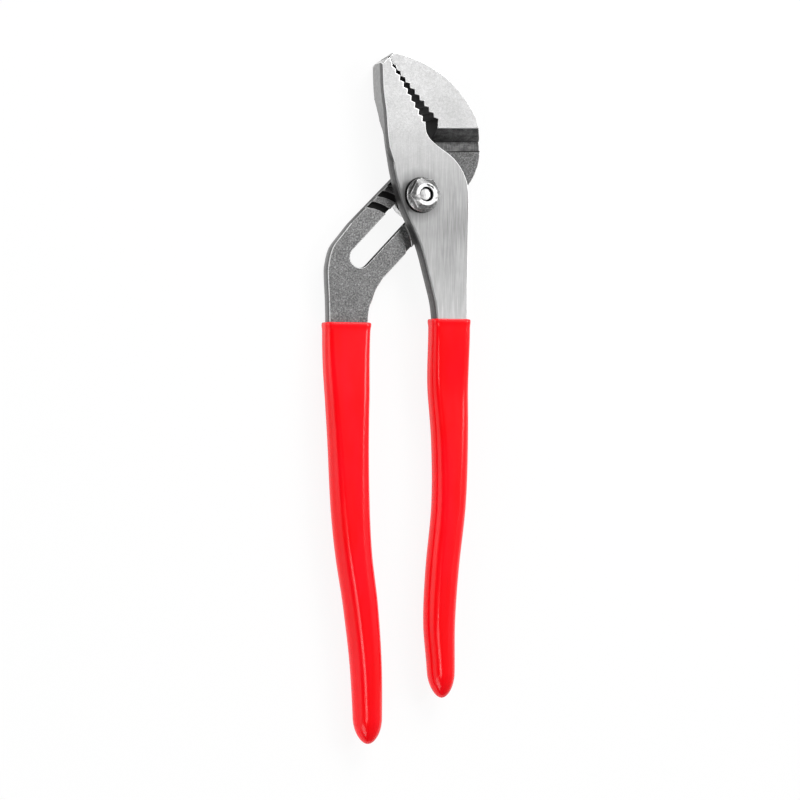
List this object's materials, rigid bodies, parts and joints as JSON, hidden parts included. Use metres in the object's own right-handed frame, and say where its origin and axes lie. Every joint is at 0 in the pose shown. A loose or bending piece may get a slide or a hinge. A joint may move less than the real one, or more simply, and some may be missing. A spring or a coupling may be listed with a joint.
{
  "type": "water pump pliers",
  "caption": "Tongue-and-groove water pump pliers: toothed angled jaws, slotted back half, pivot bolt with flange nut, and dipped vinyl grips.",
  "frame": {"origin": "centre of the bounding box's underside, which is level with the flat of the bolt's head", "axes": "+Y along the tool towards the jaws, +Z from the bolt's head to the nut, +X to the right seen from the nut side"},
  "size_m": [0.0618, 0.2528, 0.0169],
  "materials": {
    "satin_steel": "satin, ground along the tool",
    "forged_steel": "rough dark forging",
    "bright_zinc": "bright zinc plating",
    "red_vinyl": "glossy dipped vinyl"
  },
  "bodies": {
    "tongue_side": {"tongue_half": "satin_steel", "tongue_half_grip": "red_vinyl", "pivot_bolt": "bright_zinc", "flange_nut": "bright_zinc"},
    "slotted_side": {"slotted_half": "forged_steel", "slotted_half_grip": "red_vinyl"}
  },
  "joints": [
    {"name": "jaw_pivot", "type": "hinge", "parent": "tongue_side", "child": "slotted_side", "pos_m": [0.005, 0.07458, 0.00685], "axis": [0, 0, -1], "range_deg": [0, 75]}
  ]
}
